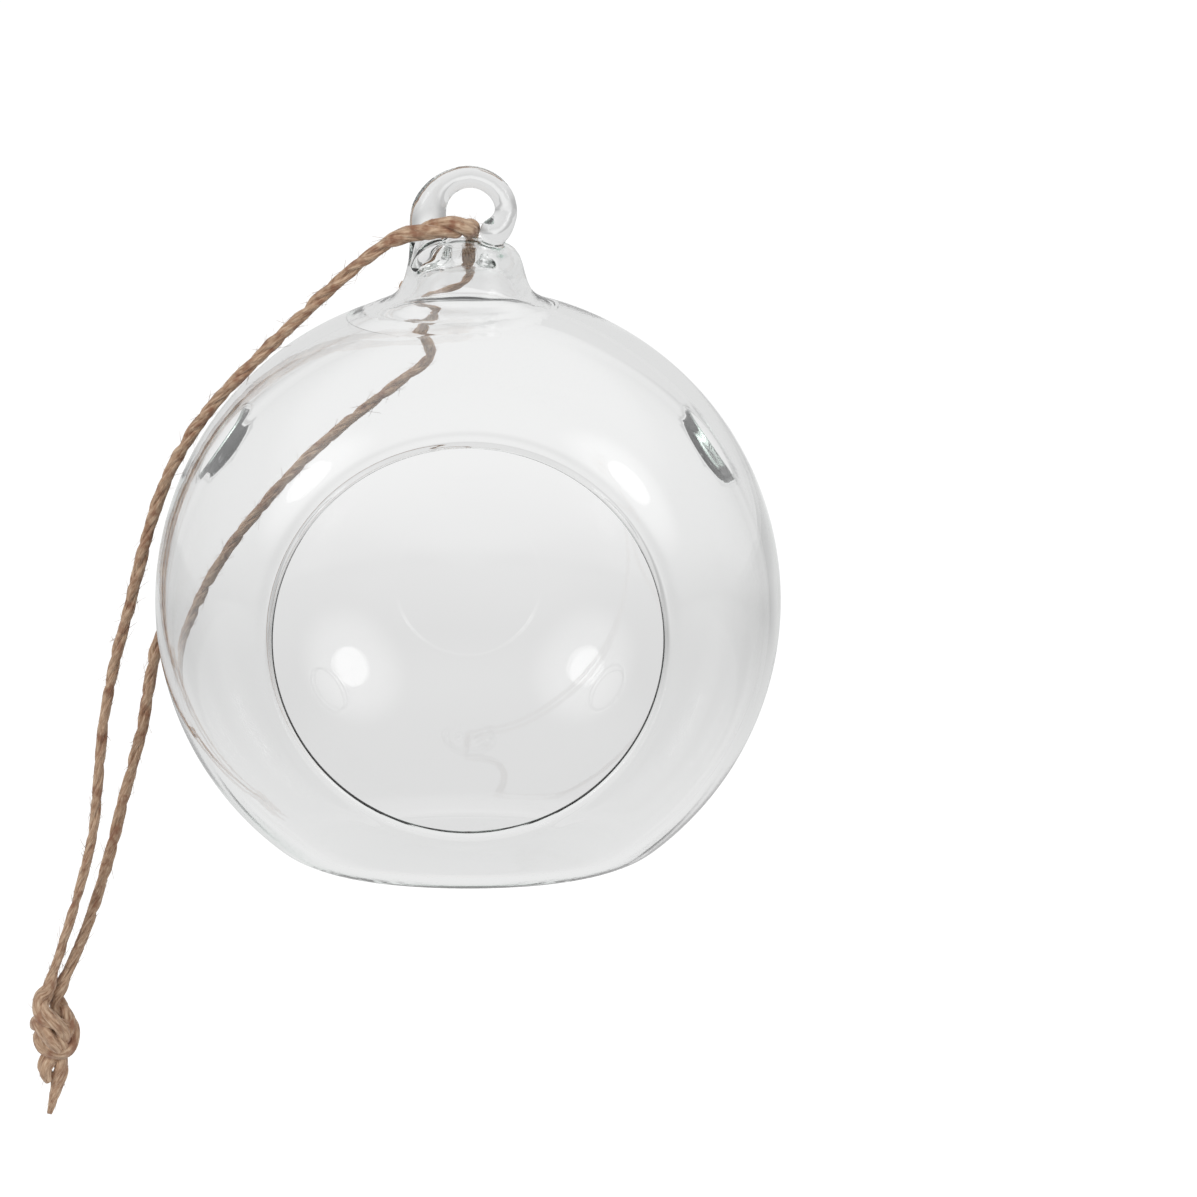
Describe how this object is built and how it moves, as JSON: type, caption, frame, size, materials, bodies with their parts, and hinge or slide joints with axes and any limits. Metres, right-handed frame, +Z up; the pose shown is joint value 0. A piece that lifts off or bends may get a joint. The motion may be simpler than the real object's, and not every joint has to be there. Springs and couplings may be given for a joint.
{
  "type": "hanging candle holder",
  "caption": "Clear blown-glass ball with a round front opening, flattened base and curled glass hook, with a knotted jute cord looped through the hook.",
  "frame": {"origin": "centre of the hole in the glass hook, where the part is hung", "axes": "+Z up, the pull of the hook or loop it hangs on; the big round opening faces -Y; the cord hangs on the -X side"},
  "size_m": [0.0969, 0.0676, 0.1252],
  "materials": {
    "clear_glass": "clear, fire-polished",
    "jute": "natural twisted fibre"
  },
  "bodies": {
    "root": {"glass_globe": "clear_glass", "hanging_cord": "jute", "cord_knot": "jute"}
  },
  "joints": []
}
